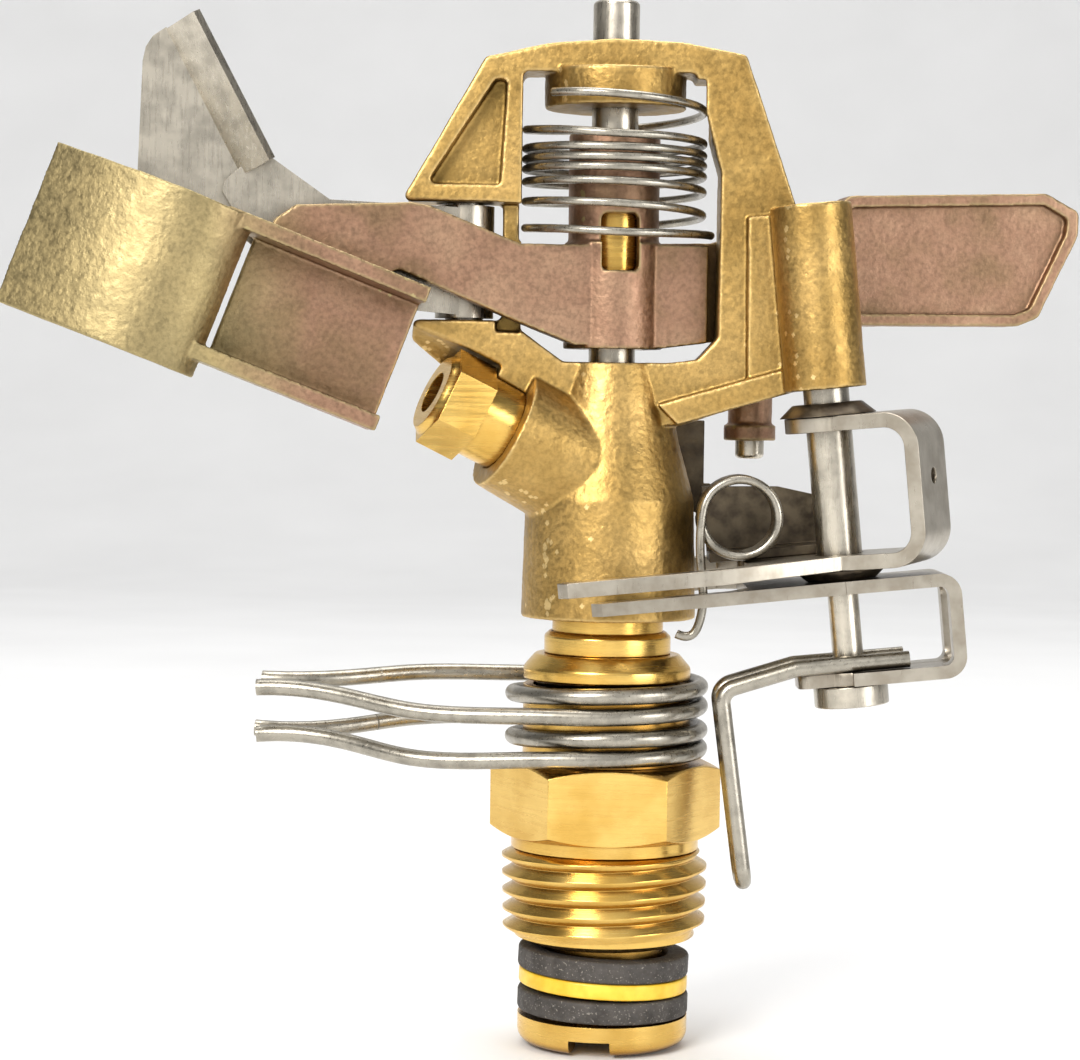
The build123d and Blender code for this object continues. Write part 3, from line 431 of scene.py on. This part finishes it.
def without_rings(obj):
    """Takes the plain thread rings off a copy of the nipple."""
    work = bmesh.new()
    work.from_mesh(obj.data)
    rings = []
    for face in work.faces:
        at = face.calc_center_median()
        ringed = -THREAD_LENGTH * MM < at.z < 0 and Vector((at.x, at.y)).length > RING_FOOT * MM
        if ringed:
            rings.append(face)
    bmesh.ops.delete(work, geom=rings, context="FACES")
    work.to_mesh(obj.data)
    work.free()


# ------------------------------------------------------------------ pieces
def threaded_nipple():
    """The nipple with its plain rings exchanged for a helical thread."""
    nipple = bevelled("inlet_nipple", 0.12)
    without_rings(nipple)
    finish_piece(thread(), "inlet_nipple", replace=False)


def wound_spring():
    """The arm spring as a cleaned copy of its CAD node, with its material, its CAD node hidden and
    its place baked in.
    """
    spring = cleaned_copy("arm_spring", "arm_spring_wound")
    spring.data.materials.clear()
    spring.data.materials.append(MATERIALS[NODE_SLOT["arm_spring"]])
    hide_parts("arm_spring")
    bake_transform(spring)


cast("body_casting", 0.16, 6, 0.05)
cast("impact_arm", 0.16, 4, 0.04)
for plain, width in (
    ("bearing_tube", 0.12),
    ("dust_collar", 0.2),
    ("retaining_ring", 0.15),
    ("nozzle", 0.18),
    ("fulcrum_pin", 0.1),
    ("arm_bush", 0.1),
    ("lug_tip", 0.15),
    ("deflector_pin", 0.1),
    ("deflector", 0.12),
    ("trip_shaft", 0.12),
    ("upper_friction_washer", 0.12),
    ("lower_friction_washer", 0.12),
    ("trip_bracket", 0.16),
    ("trip_lever", 0.16),
    ("reversing_dog", 0.12),
    ("dog_rivet", 0.1),
    ("upper_seal_washer", 0.3),
    ("lower_seal_washer", 0.3),
    ("wear_washer", 0.25),
    ("bearing_spring", 0.01),
    ("trip_spring", 0.01),
    ("trip_rod", 0.01),
    ("collar_upper", 0.01),
    ("collar_lower", 0.01),
):
    bevelled(plain, width)
threaded_nipple()
wound_spring()


# ------------------------------------------------------------------ setting
def soft_light(name, place, target, size, power, colour=(1.0, 1.0, 1.0)):
    """A square studio light that faces a target."""
    light = bpy.data.lights.new(name, "AREA")
    light.shape = "SQUARE"
    light.size = size
    light.energy = power
    light.color = colour
    obj = bpy.data.objects.new(name, light)
    bpy.context.scene.collection.objects.link(obj)
    obj.location = place
    obj.rotation_euler = (Vector(target) - Vector(place)).to_track_quat("-Z", "Y").to_euler()


def studio():
    """White surroundings that darken towards the sides along X, and soft lights."""
    world = bpy.data.worlds.new("studio")
    world.use_nodes = True
    bpy.context.scene.world = world
    tree = world.node_tree
    background = tree.nodes["Background"]
    place = tree.nodes.new("ShaderNodeTexCoord").outputs["Generated"]
    axes = tree.nodes.new("ShaderNodeSeparateXYZ")
    tree.links.new(place, axes.inputs["Vector"])
    side = tree.nodes.new("ShaderNodeMath")
    side.operation = "ABSOLUTE"
    tree.links.new(axes.outputs["X"], side.inputs[0])
    band = tree.nodes.new("ShaderNodeValToRGB")
    stops = ((0.0, 1.0), (0.35, 0.95), (0.62, 0.30), (1.0, 0.22))
    while len(band.color_ramp.elements) < len(stops):
        band.color_ramp.elements.new(1.0)
    for element, (position, grey) in zip(band.color_ramp.elements, stops):
        element.position = position
        element.color = (grey, grey, grey, 1)
    tree.links.new(side.outputs["Value"], band.inputs["Fac"])
    tree.links.new(band.outputs["Color"], background.inputs["Color"])
    background.inputs["Strength"].default_value = 0.8
    middle = (0, 0, 0.04)
    soft_light("key", (-0.35, -0.65, 0.45), middle, 0.35, 6.0, (1.0, 0.98, 0.95))
    soft_light("fill", (0.55, -0.45, 0.15), middle, 0.35, 2.0)
    soft_light("top", (0.05, 0.10, 0.75), middle, 0.5, 3.5)


def floor():
    """A plain pale floor that curves up into a backdrop."""
    low = cad_bounds[0].z - 0.0003
    rise, run, half = 1.6, 1.2, 2.2
    bend = 0.5
    line = [(-1.6, low)]
    for step in range(13):
        a = radians(90 * step / 12)
        line.append((run - bend + bend * sin(a), low + bend - bend * cos(a)))
    line.append((run, rise))
    mesh = bpy.data.meshes.new("floor")
    verts = [(x, y, z) for y, z in line for x in (-half, half)]
    faces = [(2 * i, 2 * i + 1, 2 * i + 3, 2 * i + 2) for i in range(len(line) - 1)]
    mesh.from_pydata(verts, [], faces)
    obj = new_piece("floor", mesh)
    shader = Shader("pale_floor")
    shade = shader.ramp(
        shader.noise(60.0, 2.0), (0.3, (0.86, 0.86, 0.86)), (0.7, (0.90, 0.90, 0.90))
    )
    shader.link(shade, "Base Color")
    shader.set(Roughness=0.8)
    mesh.materials.append(shader.material)


def camera():
    """A camera almost level with the middle of the object, in front of it."""
    data = bpy.data.cameras.new("camera")
    data.sensor_width = 36
    data.lens = 98.33
    data.clip_start = 0.01
    data.clip_end = 20
    obj = bpy.data.objects.new("camera", data)
    bpy.context.scene.collection.objects.link(obj)
    look = Matrix.Rotation(radians(90 - 2.523), 4, "X") @ Matrix.Rotation(radians(0.8), 4, "Z")
    obj.matrix_world = Matrix.Translation((-0.0071, -0.303, 0.0459)) @ look
    bpy.context.scene.camera = obj


studio()
floor()
camera()
bpy.context.scene.view_settings.view_transform = "Standard"
